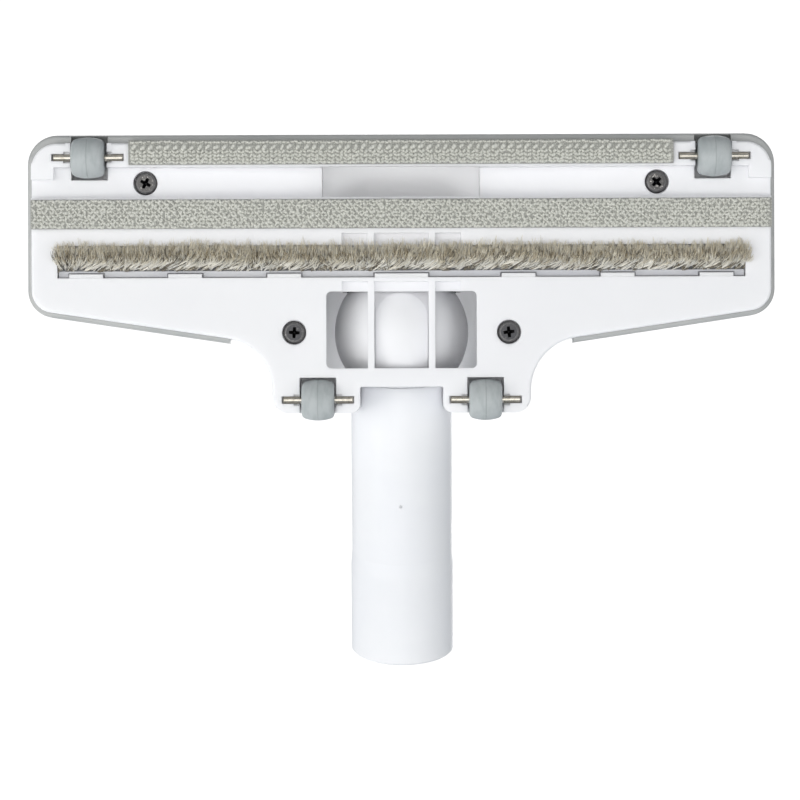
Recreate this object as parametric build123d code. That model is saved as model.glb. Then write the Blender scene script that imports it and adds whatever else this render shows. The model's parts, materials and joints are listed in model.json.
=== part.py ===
from build123d import *
from math import copysign, cos, radians, sin, sqrt, tan
import os

# Vacuum floor brush head. +Z is up, the front is towards -Y, the neck rises towards +Y.
# The pieces are modelled with the ball joint at Y = 0 and the floor at Z = 0.

# Plan of the head
HEAD_WIDTH = 252.0  # across the bumper
HEAD_FRONT = 66.4  # ball centre to the front of the bumper
WING_DEPTH = 55.9  # depth of the plate at its two ends
REAR_SLANT = 8.5  # degrees by which the rear edges run back towards the middle
EAR_SPAN = 87.0  # across the two roller ears
EAR_REACH = 27.6  # ball centre to the back of the ears
NOTCH_WIDTH = 28.2  # gap between the ears, under the neck
NOTCH_DEPTH = 8.8
FRONT_CORNER_R = 8.5
REAR_CORNER_R = 7.5
WAIST_R = 18.0
EAR_STRAIGHT = 1.0  # least straight length on an ear's side
EAR_CORNER_R = 5.4
EAR_TOE_R = 3.0
NOTCH_R = 0.8

# Bumper band
BUMPER_PROUD = 1.6
BUMPER_FRONT = 3.0  # its thickness at the front
BUMPER_HEIGHT = 8.0
BUMPER_ROUND = 1.2
BUMPER_END = 58.0  # half the gap between the band's two ends, behind

# Heights and walls
GROUND_CLEARANCE = 4.6  # floor to the face of the plate
PARTING_HEIGHT = 12.0  # where plate and cover meet
PLATE_WALL = 2.2
SHELL_WALL = 2.2
BOX_WALL = 1.6  # walls of the pockets inside
PLATE_EDGE_R = 1.0
SEAM_GAP = 0.1  # between inner walls of plate and cover

# Suction mouth: front land, channel and throat, from the plate's front edge backwards
FRONT_LAND = 8.1
CHANNEL_WIDTH = 10.3
CHANNEL_END_DEPTH = 2.0
CHANNEL_THROAT_DEPTH = 7.0
THROAT_WIDTH = 53.4
CORNER_PAD_WIDTH = 7.5
CORNER_PAD_DEPTH = 4.1

# Lint strips
STRIP_THICK = 2.6
STRIP_SINK = 0.8  # depth of the grooves they lie in
STRIP_LIP = 0.7  # plate left beside a groove
STRIP_FRONT_TURN = 0.9  # thickness of the front strip where it turns up
STRIP_END_WALL = 1.7  # plate left between the front strip and the axles' grooves
REAR_STRIP_WIDTH = 9.8
KNIT_PITCH = 2.75
KNIT_RELIEF = 0.5

# Brush
BRUSH_GAP = 5.7  # rear strip to brush slot
BRUSH_SLOT_WIDTH = 10.8
BRUSH_SLOT_DEPTH = 5.0
BRUSH_END_MARGIN = 8.7  # slot end to the plate's end
TAB_REACH = 1.3
TAB_SINK = 0.3
TAB_THICK = 3.0
TAB_GAP = 0.45  # round each tab, in the carrier
TAB_WIDTH = 11.3
MIDDLE_TAB_WIDTH = 18.0
TAB_FIRST = 39.4  # middle of the head to the first tab beside the middle one
TAB_SPACING = 33.3
CARRIER_PLAY = 0.3
CARRIER_SINK = 2.1  # carrier above the plate's face
CARRIER_GAP = 0.4  # carrier to the tabs that keep it in
BRISTLE_LENGTH = 8.5
BRISTLE_LEAN = 57.0  # degrees from upright, towards the front
BRISTLE_THICK = 2.6
BRISTLE_ROOT_BACK = 4.8  # root line to the rear of the slot
BRISTLE_SEAT = 2.2  # length held inside the carrier
TUFT_COUNT = 72
TUFT_NOTCH = 1.6

# Ball joint and window
BALL_D = 46.0
BALL_WALL = 2.4
BALL_LIFT = 0.9  # underside of the ball above the plate's face
BALL_CLEARANCE = 0.3  # ball to its cradle
BALL_COVER_GAP = 0.8  # ball to the inside of the dome
WINDOW_SIDE_GAP = 2.3
WINDOW_FRONT = 13.3
WINDOW_REAR = 12.6
WINDOW_R = 1.7
LEDGE_WIDTH = 40.0
LEDGE_LENGTH = 3.3
LEDGE_SINK = 2.0
RIB_SPACING = 20.5
RIB_THICK = 2.2
KEEL_PROUD = 0.4  # land on the ball that runs between the ribs
KEEL_SIDE_GAP = 0.3
KEEL_FRONT = 13.2  # ball centre to the land's front end
PORT_D = 32.4  # where the duct meets the ball
PORT_WALL = 2.4
SEAL_WIDTH = 2.6
SEAL_SEAT_GAP = 0.05
INLET_WIDTH = 26.0
INLET_HEIGHT = 13.0

# Neck
NECK_REST = 16.0  # degrees above level, where the tube rests on its stop
NECK_LIFT = 54.0  # degrees of travel above that
NECK_LENGTH = 116.0  # ball centre to the end of the tube
NECK_CLEARANCE = 0.5
TUBE_D = 35.2
TUBE_WALL = 2.8
SOCKET_BORE = 32.0  # takes the common pipe size
SOCKET_WALL = 2.0
SOCKET_DEPTH = 32.0
SOCKET_TAPER = 5.0
SOCKET_EDGE = 0.6
COLLAR_WALL = 1.4
COLLAR_DEPTH = 12.8
COLLAR_GAP = 0.4
SPIGOT_CLEARANCE = 0.07
SPIGOT_WALL = 2.0
RING_THICK = 1.0
RING_WIDTH = 2.4
RING_SEAT = 0.7  # depth of the groove it snaps into
RING_SPLIT = 30.0  # degrees
RING_END = 1.4  # spigot left beyond the groove

# Top cover
COVER_FRONT_HEIGHT = 20.5
COVER_MIDDLE_HEIGHT = 27.5
COVER_REAR_HEIGHT = 25.0
COVER_EDGE_R = 4.5
HUMP_WIDTH = 58.0
HUMP_SLOPE = 38.0
HUMP_CREST_SLOPE = 6.0
HUMP_SHOULDER = 17.0  # ball centre to where the ridge starts to fall
HUMP_SHOULDER_R = 20.0
HUMP_ROUND = 18.0
HUMP_BLEND_R = 6.0
BOSS_D = 8.0
CHEEK_THICK = 2.0

# Rollers and axles
ROLLER_D = 13.8
ROLLER_WIDTH = 11.0
ROLLER_EDGE_D = 11.6
ROLLER_EDGE_R = 1.8
ROLLER_SIDE_GAP = 0.65
ROLLER_POCKET_GAP = 0.6
POCKET_SHIFT = 0.35  # front pockets are this far nearer the middle than their rollers
FRONT_ROLLER_INSET = 19.0  # plate's end to the middle of the roller
FRONT_AXLE_BACK = 4.8  # plate's front edge to the axle
REAR_ROLLER_SPACING = 56.4
REAR_AXLE_IN = 4.4  # back of the ears to the axle
AXLE_D = 2.4
AXLE_LENGTH = 23.6
AXLE_CHAMFER = 0.3
AXLE_SEAT_GAP = 0.05
ROLLER_BORE_GAP = 0.06
AXLE_END_GAP = 0.4
CLIP_LENGTH = 2.0
CLIP_WIDEN = 0.7

# Screws
FRONT_SCREW_INSET = 38.1  # plate's end to the screw
REAR_SCREW_SPACING = 72.2
REAR_SCREW_BACK = 0.5  # behind the ball centre
SCREW_HEAD_D = 7.6
SCREW_HEAD_HEIGHT = 2.2
SCREW_SHANK_D = 3.5
SCREW_LENGTH = 8.0
SCREW_SINK = 0.6
SCREW_HOLE_GAP = 0.3
SCREW_CROSS_WIDTH = 1.0
SCREW_CROSS_LENGTH = 4.2
SCREW_CROSS_DEPTH = 1.2
PILOT_GAP = 0.05

# Worked out from the sizes above
FACE = GROUND_CLEARANCE
PLATE_HALF = HEAD_WIDTH / 2 - BUMPER_PROUD
PLATE_FRONT = BUMPER_FRONT - HEAD_FRONT
WING_REAR = PLATE_FRONT + WING_DEPTH
NOTCH_Y = EAR_REACH - NOTCH_DEPTH
BALL_R = BALL_D / 2
BALL_Z = FACE + BALL_LIFT + BALL_R
DOME_R = BALL_R + BALL_COVER_GAP + SHELL_WALL
TUBE_R = TUBE_D / 2
COLLAR_REACH = sqrt(BALL_R**2 - TUBE_R**2)  # where the ball is as wide as the tube
SOCKET_R = SOCKET_BORE / 2 + SOCKET_WALL
CHANNEL_FRONT = PLATE_FRONT + FRONT_LAND
CHANNEL_REAR = CHANNEL_FRONT + CHANNEL_WIDTH
CHANNEL_MIDDLE = CHANNEL_FRONT + CHANNEL_WIDTH / 2
THROAT_HALF = THROAT_WIDTH / 2
REAR_STRIP_FRONT = CHANNEL_REAR + STRIP_LIP
REAR_STRIP_REAR = REAR_STRIP_FRONT + REAR_STRIP_WIDTH
STRIP_LOW = FACE + STRIP_SINK - STRIP_THICK
BRUSH_FRONT = REAR_STRIP_REAR + BRUSH_GAP
BRUSH_REAR = BRUSH_FRONT + BRUSH_SLOT_WIDTH
BRUSH_HALF = PLATE_HALF - BRUSH_END_MARGIN
BRUSH_BOX_TOP = FACE + BRUSH_SLOT_DEPTH + BOX_WALL
TAB_TOP = FACE + TAB_SINK + TAB_THICK
CARRIER_LOW = FACE + CARRIER_SINK
WINDOW_HALF = BALL_R + WINDOW_SIDE_GAP
LEDGE_FRONT = -WINDOW_FRONT - LEDGE_LENGTH
RIM_TOP = FACE + LEDGE_SINK + BOX_WALL
RIB_BAY = (RIB_SPACING - RIB_THICK) / 2
PORT_Y = -sqrt(BALL_R**2 - (PORT_D / 2) ** 2)
ROLLER_R = ROLLER_D / 2
AXLE_R = AXLE_D / 2
FRONT_AXLE_Y = PLATE_FRONT + FRONT_AXLE_BACK
REAR_AXLE_Y = EAR_REACH - REAR_AXLE_IN
FRONT_ROLLER_X = PLATE_HALF - FRONT_ROLLER_INSET
REAR_ROLLER_X = REAR_ROLLER_SPACING / 2
FRONT_STRIP_HALF = FRONT_ROLLER_X - AXLE_LENGTH / 2 - AXLE_END_GAP - STRIP_END_WALL
POCKET_HALF = ROLLER_WIDTH / 2 + ROLLER_SIDE_GAP
POCKET_R = ROLLER_R + ROLLER_POCKET_GAP
POCKET_TOP = ROLLER_R + POCKET_R
COUNTERBORE_R = SCREW_HEAD_D / 2 + SCREW_HOLE_GAP
SPIGOT_R = TUBE_R - COLLAR_WALL - SPIGOT_CLEARANCE
REAR_REACH = NECK_LENGTH * cos(radians(NECK_REST)) + (SOCKET_R - SOCKET_EDGE) * sin(radians(NECK_REST))
BALL_Y = (HEAD_FRONT - REAR_REACH) / 2  # puts the middle of the whole part at Y = 0
FAR = 2 * HEAD_WIDTH  # longer than anything it cuts


def block(x, y, z):
    """Box between pairs of X, Y and Z limits."""
    size = [high - low for low, high in (x, y, z)]
    middle = [(high + low) / 2 for low, high in (x, y, z)]
    return Pos(*middle) * Box(*size)


def slab(face, low, high):
    """Plan face raised between two heights."""
    return Pos(0, 0, low) * extrude(face, high - low, dir=(0, 0, 1))


def rod_x(x, y, z, radius):
    """Cylinder along X between two limits."""
    length = x[1] - x[0]
    return Pos((x[0] + x[1]) / 2, y, z) * Rot(0, 90, 0) * Cylinder(radius, length)


def rod_y(y, radius):
    """Cylinder along Y between two limits, on the ball's axis."""
    return Pos(0, (y[0] + y[1]) / 2, BALL_Z) * Rot(90, 0, 0) * Cylinder(radius, y[1] - y[0])


def rod_z(x, y, z, radius):
    """Cylinder along Z between two limits."""
    return Pos(x, y, (z[0] + z[1]) / 2) * Cylinder(radius, z[1] - z[0])


def both_sides(shape):
    """A shape and its mirror image across the head's middle."""
    return shape + mirror(shape, about=Plane.YZ)


def in_ball(shape):
    """Moves a shape from the neck's own axis along +Y to its rest place in the head."""
    return Pos(0, 0, BALL_Z) * Rot(NECK_REST, 0, 0) * shape


def turned(points):
    """Solid of revolution about the Y axis from (radius, y) points."""
    return revolve(make_face(Polyline(*points, close=True)), Axis.Y)


def mirrored_corners(right):
    """Corners of a closed outline from those on its right half, given as (x, y, radius)."""
    return right + [(-x, y, radius) for x, y, radius in reversed(right)]


def rounded(corners):
    """Face inside a closed outline with rounded corners."""
    points = [(x, y) for x, y, radius in corners]
    return make_face(FilletPolyline(*points, radius=[corner[2] for corner in corners], close=True))


def head_plan():
    """Plan of the head without the notch: wide wings, a waist and the two ears as one block."""
    waist_y = WING_REAR + (PLATE_HALF - EAR_SPAN / 2) * tan(radians(REAR_SLANT))
    side = EAR_REACH - waist_y - EAR_CORNER_R - EAR_STRAIGHT
    waist_r = min(WAIST_R, side / tan(radians((90 - REAR_SLANT) / 2)))
    right = [
        (PLATE_HALF, PLATE_FRONT, FRONT_CORNER_R),
        (PLATE_HALF, WING_REAR, REAR_CORNER_R),
        (EAR_SPAN / 2, waist_y, waist_r),
        (EAR_SPAN / 2, EAR_REACH, EAR_CORNER_R),
    ]
    return rounded(mirrored_corners(right))


def notch(grow, low, high):
    """The gap between the ears, which end in rounded toes, grown by a wall."""
    half = NOTCH_WIDTH / 2 + grow
    back = EAR_REACH - grow
    right = [
        (half, NOTCH_Y - grow, NOTCH_R + grow),
        (half, back, EAR_TOE_R - grow),
        (HEAD_WIDTH / 2, back, 0),
        (HEAD_WIDTH / 2, EAR_REACH + NOTCH_DEPTH, 0),
    ]
    return slab(rounded(mirrored_corners(right)), low, high)


def channel_depth(x):
    """Depth of the suction channel at a distance from the middle."""
    share = (PLATE_HALF - x) / (PLATE_HALF - THROAT_HALF)
    return CHANNEL_END_DEPTH + (CHANNEL_THROAT_DEPTH - CHANNEL_END_DEPTH) * share


def channel_wedge(grow, low, reach):
    """One side of the channel, from the throat to an X limit, grown by a wall."""
    roof = Polyline(
        (THROAT_HALF, low),
        (THROAT_HALF, FACE + CHANNEL_THROAT_DEPTH + grow),
        (reach, FACE + channel_depth(reach) + grow),
        (reach, low),
        close=True,
    )
    wedge = extrude(Plane.XZ * make_face(roof), CHANNEL_WIDTH + 2 * grow, dir=(0, 1, 0))
    return Pos(0, CHANNEL_FRONT - grow, 0) * wedge


def roller_places():
    """Names and places of the four rollers, seen from above with the front ahead."""
    return {
        "front_left": (-FRONT_ROLLER_X, FRONT_AXLE_Y),
        "front_right": (FRONT_ROLLER_X, FRONT_AXLE_Y),
        "rear_left": (-REAR_ROLLER_X, REAR_AXLE_Y),
        "rear_right": (REAR_ROLLER_X, REAR_AXLE_Y),
    }


def screw_places():
    """Each screw's x, y and the height of the face that its head bears on."""
    front_x = PLATE_HALF - FRONT_SCREW_INSET
    front_seat = FACE + channel_depth(front_x) + SCREW_SINK + SCREW_HEAD_HEIGHT
    rear_x = REAR_SCREW_SPACING / 2
    rear_seat = FACE + SCREW_SINK + SCREW_HEAD_HEIGHT
    places = []
    for side in (-1, 1):
        places.append((side * front_x, CHANNEL_MIDDLE, front_seat))
        places.append((side * rear_x, REAR_SCREW_BACK, rear_seat))
    return places


def tab_places():
    """Middle and width of each brush tab."""
    places = [(0, MIDDLE_TAB_WIDTH)]
    for step in range(3):
        for side in (-1, 1):
            places.append((side * (TAB_FIRST + step * TAB_SPACING), TAB_WIDTH))
    return places


def ball_room(clearance):
    """Sphere round the ball, grown by a clearance."""
    return Pos(0, 0, BALL_Z) * Sphere(BALL_R + clearance)


def neck_sweep():
    """All the room that the neck tube passes through, from rest to fully raised."""
    radius = TUBE_R + NECK_CLEARANCE
    rod = Pos(0, FAR / 2, 0) * Rot(90, 0, 0) * Cylinder(radius, FAR)
    low = (FAR * cos(radians(NECK_REST)), FAR * sin(radians(NECK_REST)))
    high_angle = radians(NECK_REST + NECK_LIFT)
    high = (FAR * cos(high_angle), FAR * sin(high_angle))
    fan = Plane.YZ * make_face(Polyline((0, 0), low, high, close=True))
    sweep = extrude(fan, radius, both=True)
    sweep += Rot(NECK_REST, 0, 0) * rod
    sweep += Rot(NECK_REST + NECK_LIFT, 0, 0) * rod
    return Pos(0, 0, BALL_Z) * sweep


def keel_room():
    """Room under the ball for the land that runs between the ribs."""
    bay = block((-RIB_BAY, RIB_BAY), (-FAR, FAR), (-FAR, BALL_Z))
    return ball_room(KEEL_PROUD + BALL_CLEARANCE) & bay


def pocket_sides(place, grow):
    """X limits of a roller's pocket, grown by a wall."""
    x, y = place
    middle = x - copysign(POCKET_SHIFT, x) if y < 0 else x
    return middle - POCKET_HALF - grow, middle + POCKET_HALF + grow


def roller_room(place, high):
    """Pocket of one roller, open below and at its outer side of the head."""
    y = place[1]
    outward = -1 if y < 0 else 1
    limits = sorted((y - outward * POCKET_R, y + outward * FAR))
    return block(pocket_sides(place, 0), limits, (-FAR, high))


def bottom_plate():
    """Sole of the head: tray, boxes for what it holds, and the cuts seen from below."""
    plan = head_plan()
    inner = offset(plan, -SHELL_WALL)
    tray = slab(plan, FACE, PARTING_HEIGHT)
    tray = fillet(tray.edges().group_by(Axis.Z)[0], PLATE_EDGE_R)
    tray -= slab(inner, FACE + PLATE_WALL, PARTING_HEIGHT)

    boxes = both_sides(channel_wedge(BOX_WALL, FACE, PLATE_HALF))
    boxes += block(
        (-BRUSH_HALF - BOX_WALL, BRUSH_HALF + BOX_WALL),
        (BRUSH_FRONT - BOX_WALL, BRUSH_REAR + BOX_WALL),
        (FACE, BRUSH_BOX_TOP),
    )
    kerb = (THROAT_HALF, THROAT_HALF + BOX_WALL)
    boxes += both_sides(block(kerb, (CHANNEL_REAR, BRUSH_FRONT), (FACE, BRUSH_BOX_TOP)))
    ledge_half = LEDGE_WIDTH / 2 + BOX_WALL
    boxes += block((-ledge_half, ledge_half), (REAR_STRIP_REAR, -WINDOW_FRONT), (FACE, RIM_TOP))
    rim = Pos(0, (WINDOW_REAR - WINDOW_FRONT) / 2) * RectangleRounded(
        2 * (WINDOW_HALF + BOX_WALL), WINDOW_REAR + WINDOW_FRONT + 2 * BOX_WALL, WINDOW_R + BOX_WALL
    )
    boxes += slab(rim, FACE, RIM_TOP)
    boxes += notch(SHELL_WALL, FACE, PARTING_HEIGHT)
    for place in roller_places().values():
        x, y = place
        seat = AXLE_LENGTH / 2 + AXLE_END_GAP + BOX_WALL
        across = AXLE_R + CLIP_WIDEN + BOX_WALL
        boxes += block((x - seat, x + seat), (y - across, y + across), (FACE, ROLLER_R + AXLE_R + BOX_WALL))
        rows = (y - POCKET_R - BOX_WALL, y + POCKET_R + BOX_WALL)
        boxes += block(pocket_sides(place, BOX_WALL), rows, (FACE, POCKET_TOP + BOX_WALL))
    for x, y, seat in screw_places():
        boxes += rod_z(x, y, (FACE, seat + PLATE_WALL), COUNTERBORE_R + BOX_WALL)
    inside = slab(plan, FACE, PARTING_HEIGHT)
    inside += slab(offset(plan, -SHELL_WALL - SEAM_GAP), PARTING_HEIGHT, FAR)
    plate = tray + (boxes & inside)

    channel = both_sides(channel_wedge(0, FACE - BOX_WALL, PLATE_HALF + BUMPER_PROUD))
    pad = (PLATE_HALF - CORNER_PAD_WIDTH, PLATE_HALF + BUMPER_PROUD)
    pad_rows = (CHANNEL_FRONT, CHANNEL_FRONT + CORNER_PAD_DEPTH)
    channel -= both_sides(block(pad, pad_rows, (-FAR, FAR)))
    plate -= channel
    plate -= block((-THROAT_HALF, THROAT_HALF), (CHANNEL_FRONT, CHANNEL_REAR), (-FAR, FAR))
    groove = (-FAR, FACE + STRIP_SINK)
    plate -= block((-FRONT_STRIP_HALF, FRONT_STRIP_HALF), (-FAR, CHANNEL_FRONT - STRIP_LIP), groove)
    plate -= block((-FAR, FAR), (REAR_STRIP_FRONT, REAR_STRIP_REAR), groove)
    ledge = (-FAR, FACE + LEDGE_SINK)
    half = LEDGE_WIDTH / 2
    plate -= block((-half, half), (REAR_STRIP_REAR + BOX_WALL, BRUSH_FRONT), ledge)
    plate -= block((-half, half), (LEDGE_FRONT, -WINDOW_FRONT), ledge)
    window = Pos(0, (WINDOW_REAR - WINDOW_FRONT) / 2) * RectangleRounded(
        2 * WINDOW_HALF, WINDOW_REAR + WINDOW_FRONT, WINDOW_R
    )
    plate -= slab(window, -FAR, FAR)
    rib = (RIB_BAY, RIB_BAY + RIB_THICK)
    rib_rows = (REAR_STRIP_REAR + BOX_WALL, WINDOW_REAR)
    plate += both_sides(block(rib, rib_rows, (FACE, RIM_TOP))) - ball_room(BALL_CLEARANCE)

    slot = (-FAR, FACE + BRUSH_SLOT_DEPTH)
    plate -= block((-BRUSH_HALF, BRUSH_HALF), (BRUSH_FRONT, BRUSH_REAR), slot)
    for x, width in tab_places():
        tab_rows = (BRUSH_REAR - TAB_REACH, BRUSH_REAR)
        plate += block((x - width / 2, x + width / 2), tab_rows, (FACE + TAB_SINK, TAB_TOP))

    plate -= notch(0, -FAR, FAR)
    for place in roller_places().values():
        x, y = place
        plate -= roller_room(place, POCKET_TOP)
        groove_x = (x - AXLE_LENGTH / 2 - AXLE_END_GAP, x + AXLE_LENGTH / 2 + AXLE_END_GAP)
        groove_r = AXLE_R + AXLE_SEAT_GAP
        plate -= block(groove_x, (y - groove_r, y + groove_r), (-FAR, ROLLER_R))
        plate -= rod_x(groove_x, y, ROLLER_R, groove_r)
        clip = POCKET_HALF + CLIP_LENGTH
        clip_r = AXLE_R + CLIP_WIDEN
        plate -= block((x - clip, x + clip), (y - clip_r, y + clip_r), (-FAR, ROLLER_R))
    for x, y, seat in screw_places():
        plate -= rod_z(x, y, (-FAR, seat), COUNTERBORE_R)
        plate -= rod_z(x, y, (-FAR, FAR), SCREW_SHANK_D / 2 + SCREW_HOLE_GAP)
    plate -= keel_room()
    plate -= neck_sweep()
    return plate


def crown(inset):
    """Gently arched upper limit of the wings."""
    low = PARTING_HEIGHT - BUMPER_HEIGHT
    front = (PLATE_FRONT - BUMPER_PROUD, COVER_FRONT_HEIGHT - inset)
    rear = (EAR_REACH + BUMPER_PROUD, COVER_REAR_HEIGHT - inset)
    middle = ((front[0] + rear[0]) / 2, COVER_MIDDLE_HEIGHT - inset)
    arch = ThreePointArc(front, middle, rear)
    sides = Polyline(rear, (rear[0], low), (front[0], low), front)
    return extrude(Plane.YZ * make_face(arch + sides), HEAD_WIDTH, both=True)


def hump(inset):
    """Rounded ridge that climbs from the front to a shoulder and runs into the dome over the ball."""
    radius = DOME_R - inset
    half = HUMP_WIDTH / 2 - inset
    low = -HUMP_ROUND
    lead = radians(90 + HUMP_CREST_SLOPE)
    start = (radius * cos(lead), BALL_Z + radius * sin(lead))
    shoulder_y = -HUMP_SHOULDER + inset
    shoulder_z = start[1] - (start[0] - shoulder_y) * tan(radians(HUMP_CREST_SLOPE))
    foot_y = shoulder_y - (shoulder_z - PARTING_HEIGHT) / tan(radians(HUMP_SLOPE))
    crest = (radius * cos(lead / 2), BALL_Z + radius * sin(lead / 2))
    ridge_line = FilletPolyline(
        (foot_y, PARTING_HEIGHT), (shoulder_y, shoulder_z), start, radius=[HUMP_SHOULDER_R - inset]
    )
    dome = ThreePointArc(start, crest, (radius, BALL_Z))
    base = Polyline((radius, BALL_Z), (radius, low), (foot_y, low), (foot_y, PARTING_HEIGHT))
    ridge = extrude(Plane.YZ * make_face(ridge_line + dome + base), half, both=True)
    along = ridge.edges().filter_by(lambda edge: abs(abs(edge.center().X) - half) < 0.01)
    along = along.filter_by(lambda edge: edge.center().Z > low and edge.center().Y > foot_y)
    return fillet(along, HUMP_ROUND - inset)


def cover_form(inset, low):
    """Outer form of the top cover, or its hollow when inset by the wall."""
    plan = head_plan()
    column = slab(offset(plan, -inset) if inset else plan, low, FAR)
    wings = column & crown(inset)
    top = wings.faces().sort_by(Axis.Z)[-1]
    wings = fillet(top.edges(), COVER_EDGE_R - inset)
    ridge = hump(inset) & column
    form = wings + ridge
    seam = new_edges(wings, ridge, combined=form)
    return fillet(seam, HUMP_BLEND_R + inset)


def top_cover():
    """Upper shell with the duct to the ball, ribs beside the ball and screw bosses."""
    outer = cover_form(0, PARTING_HEIGHT)
    shell = outer - cover_form(SHELL_WALL, FACE)
    inside = cover_form(SHELL_WALL / 2, FACE)

    duct = (THROAT_HALF + SEAM_GAP, THROAT_HALF + SEAM_GAP + BOX_WALL)
    box_top = BRUSH_BOX_TOP + SEAM_GAP
    mouth_top = FACE + CHANNEL_THROAT_DEPTH + BOX_WALL + SEAM_GAP
    port_rows = (PORT_Y - PORT_WALL, PORT_Y)
    walls = both_sides(block(duct, (CHANNEL_REAR + BOX_WALL + SEAM_GAP, port_rows[1]), (box_top, FAR)))
    walls += both_sides(block(duct, (CHANNEL_FRONT - BOX_WALL, CHANNEL_REAR + BOX_WALL + SEAM_GAP), (mouth_top, FAR)))
    walls += block((-duct[1], duct[1]), port_rows, (box_top, FAR)) - rod_y((-FAR, FAR), PORT_D / 2)
    seat_r = PORT_D / 2 + SEAL_WIDTH + SEAL_SEAT_GAP
    lip_rows = (PORT_Y, PORT_Y + SEAL_WIDTH - SEAM_GAP)
    lip = rod_y(lip_rows, seat_r + BOX_WALL) - rod_y(lip_rows, seat_r)
    walls += lip & block((-FAR, FAR), (-FAR, FAR), (RIM_TOP + SEAM_GAP, FAR))
    cheek_x = (TUBE_R + NECK_CLEARANCE, HUMP_WIDTH / 2)
    cheek_rows = (WINDOW_REAR + BOX_WALL, WINDOW_REAR + BOX_WALL + CHEEK_THICK)
    walls += both_sides(block(cheek_x, cheek_rows, (POCKET_TOP + BOX_WALL + SEAM_GAP, FAR)))
    for x, y, seat in screw_places():
        boss = (seat + PLATE_WALL, FAR)
        walls += rod_z(x, y, boss, BOSS_D / 2)
    walls += notch(SHELL_WALL, PARTING_HEIGHT, BALL_Z) - notch(0, -FAR, FAR)
    shell += walls & inside
    shell -= ball_room(BALL_CLEARANCE)
    shell -= keel_room()
    shell -= notch(0, -FAR, FAR)
    shell -= neck_sweep()
    for x, y, seat in screw_places():
        shell -= rod_z(x, y, (FACE, seat + SCREW_LENGTH + PILOT_GAP), SCREW_SHANK_D / 2 + PILOT_GAP)
    return shell - roller_reliefs()


def roller_reliefs():
    """Room for the rollers where they pass the cover's wall and the bumper."""
    reliefs = Part()
    for place in roller_places().values():
        reliefs += rod_x(pocket_sides(place, 0), place[1], ROLLER_R, POCKET_R)
    return reliefs


def bumper():
    """Soft band over the joint of plate and cover, round the front and sides."""
    plan = head_plan()
    low = PARTING_HEIGHT - BUMPER_HEIGHT / 2
    high = PARTING_HEIGHT + BUMPER_HEIGHT / 2
    outer = offset(plan, BUMPER_PROUD)
    outer += Pos(0, BUMPER_PROUD - BUMPER_FRONT) * outer
    band = slab(outer, low, high)
    rims = band.edges().group_by(Axis.Z)
    band = fillet(rims[0] + rims[-1], BUMPER_ROUND)
    band -= slab(plan, low, high)
    band -= block((-BUMPER_END, BUMPER_END), (CHANNEL_REAR, FAR), (-FAR, FAR))
    return band - roller_reliefs()


def knit(length, rows):
    """Knitted tape with a chevron of ridges on its underside, between two Y limits."""
    high = FACE + STRIP_SINK
    middle = (rows[0] + rows[1]) / 2
    half_width = (rows[1] - rows[0]) / 2
    slant = KNIT_PITCH
    count = round((length + 4 * slant) / KNIT_PITCH)
    start = -count * KNIT_PITCH / 2
    teeth = []
    for i in range(count):
        teeth.append((start + i * KNIT_PITCH, STRIP_LOW + KNIT_RELIEF))
        teeth.append((start + (i + 0.5) * KNIT_PITCH, STRIP_LOW))
    end = start + count * KNIT_PITCH
    outline = Polyline((start, high), *teeth, (end, STRIP_LOW + KNIT_RELIEF), (end, high), close=True)
    section = Pos(0, middle, 0) * (Plane.XZ * make_face(outline))
    run = sqrt(slant**2 + half_width**2)
    tape = extrude(section, run, dir=(slant / run, half_width / run, 0))
    tape += extrude(section, run, dir=(slant / run, -half_width / run, 0))
    return tape & block((-length / 2, length / 2), rows, (0, high))


def front_lint_strip():
    """Front tape, turned up over the plate's front edge to the bumper."""
    front = PLATE_FRONT - STRIP_FRONT_TURN
    tape = knit(2 * FRONT_STRIP_HALF, (front, CHANNEL_FRONT - STRIP_LIP))
    turn = (FACE + STRIP_SINK, PARTING_HEIGHT - BUMPER_HEIGHT / 2)
    return tape + block((-FRONT_STRIP_HALF, FRONT_STRIP_HALF), (front, PLATE_FRONT), turn)


def rear_lint_strip():
    """Rear tape, across the whole plate."""
    return knit(2 * PLATE_HALF, (REAR_STRIP_FRONT, REAR_STRIP_REAR))


def bristle_sheet():
    """Leaning comb of tufts, from its root line to the tips."""
    root_y = BRUSH_REAR - BRISTLE_ROOT_BACK
    half = BRUSH_HALF - CARRIER_PLAY
    pitch = 2 * half / TUFT_COUNT
    tips = []
    for i in range(TUFT_COUNT):
        left = -half + i * pitch
        tips.append((left, BRISTLE_LENGTH - TUFT_NOTCH))
        tips.append((left + pitch / 4, BRISTLE_LENGTH))
        tips.append((left + 3 * pitch / 4, BRISTLE_LENGTH))
    roots = [(half, BRISTLE_LENGTH - TUFT_NOTCH), (half, -BRISTLE_SEAT), (-half, -BRISTLE_SEAT)]
    comb = make_face(Polyline(*tips, *roots, close=True))
    lean = radians(BRISTLE_LEAN)
    normal = (0, cos(lean), -sin(lean))
    sheet = Plane(origin=(0, root_y, CARRIER_LOW), x_dir=(1, 0, 0), z_dir=normal)
    return extrude(sheet * comb, BRISTLE_THICK / 2, both=True)


def brush_carrier():
    """Strip that fills the brush slot and holds the hair, with a seat for each tab."""
    half = BRUSH_HALF - CARRIER_PLAY
    rows = (BRUSH_FRONT + CARRIER_PLAY, BRUSH_REAR - CARRIER_PLAY)
    carrier = block((-half, half), rows, (CARRIER_LOW, FACE + BRUSH_SLOT_DEPTH))
    for x, width in tab_places():
        sides = (x - width / 2 - TAB_GAP, x + width / 2 + TAB_GAP)
        seat = (BRUSH_REAR - TAB_REACH - TAB_GAP, BRUSH_REAR)
        carrier -= block(sides, seat, (CARRIER_LOW, TAB_TOP + CARRIER_GAP))
    return carrier - bristle_sheet()


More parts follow.
